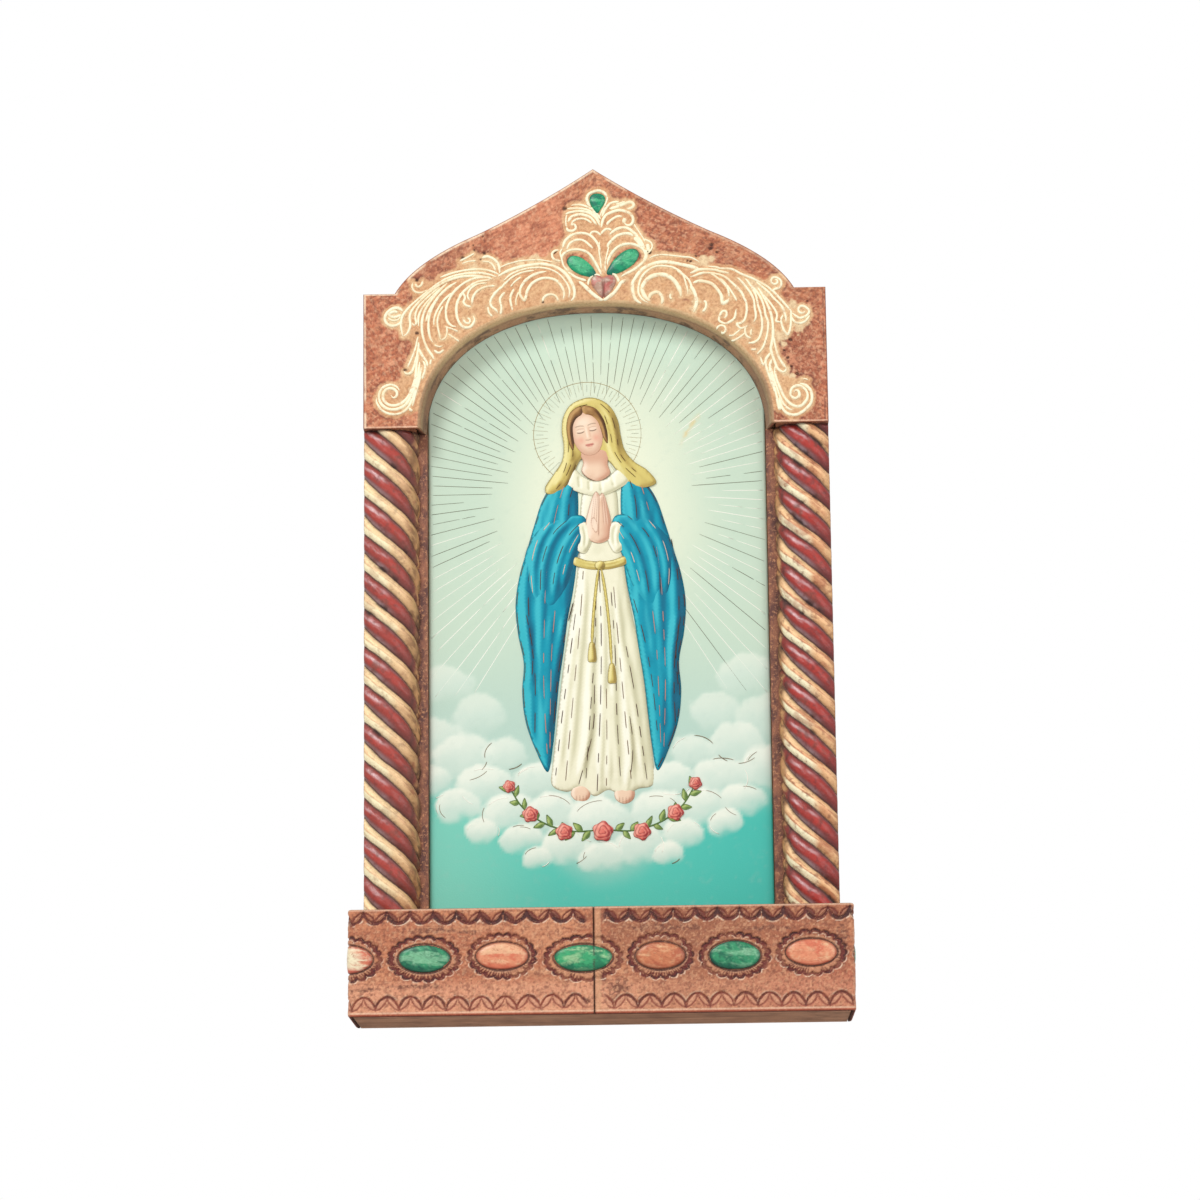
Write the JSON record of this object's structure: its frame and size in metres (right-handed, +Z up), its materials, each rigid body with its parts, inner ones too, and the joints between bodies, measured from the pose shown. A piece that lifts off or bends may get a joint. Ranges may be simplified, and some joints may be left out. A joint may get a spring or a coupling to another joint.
{
  "type": "devotional plaque",
  "caption": "Arched devotional plaque: a foil print between twisted half-round columns under an ogee head, on a leather-covered foot; it stands or hangs.",
  "frame": {"origin": "middle of the foot's flat underside", "axes": "+Z up, -Y out of the front towards the viewer, +X to the viewer's right; the wall is at +Y"},
  "size_m": [0.181, 0.0415, 0.3163],
  "materials": {
    "stained_wood": "dark brown stain, matt",
    "tooled_leather": "tooled and antiqued copper-brown leather, satin",
    "back_board": "bare thin board, matt",
    "foil_print": "embossed foil print, semi-gloss",
    "painted_wood": "dark red-brown paint, satin",
    "gilded_wood": "cranberry lacquer and gold over carved wood, glossy",
    "nail_steel": "plain steel",
    "hanger_steel": "stamped steel"
  },
  "bodies": {
    "root": {"base_block": "stained_wood", "base_leather_left": "tooled_leather", "base_leather_right": "tooled_leather", "back_board": "back_board", "print_card": "foil_print", "left_stile": "painted_wood", "right_stile": "painted_wood", "left_column": "gilded_wood", "right_column": "gilded_wood", "pediment_board": "painted_wood", "pediment_leather": "tooled_leather", "pediment_nail_1": "nail_steel", "pediment_nail_2": "nail_steel", "pediment_nail_3": "nail_steel", "pediment_nail_4": "nail_steel", "column_nail_1": "nail_steel", "column_nail_2": "nail_steel", "column_nail_3": "nail_steel", "column_nail_4": "nail_steel", "column_nail_5": "nail_steel", "column_nail_6": "nail_steel", "base_nail_1": "nail_steel", "base_nail_2": "nail_steel", "base_nail_3": "nail_steel", "hanger_plate": "hanger_steel", "hanger_nail_left": "nail_steel", "hanger_nail_right": "nail_steel"}
  },
  "joints": []
}
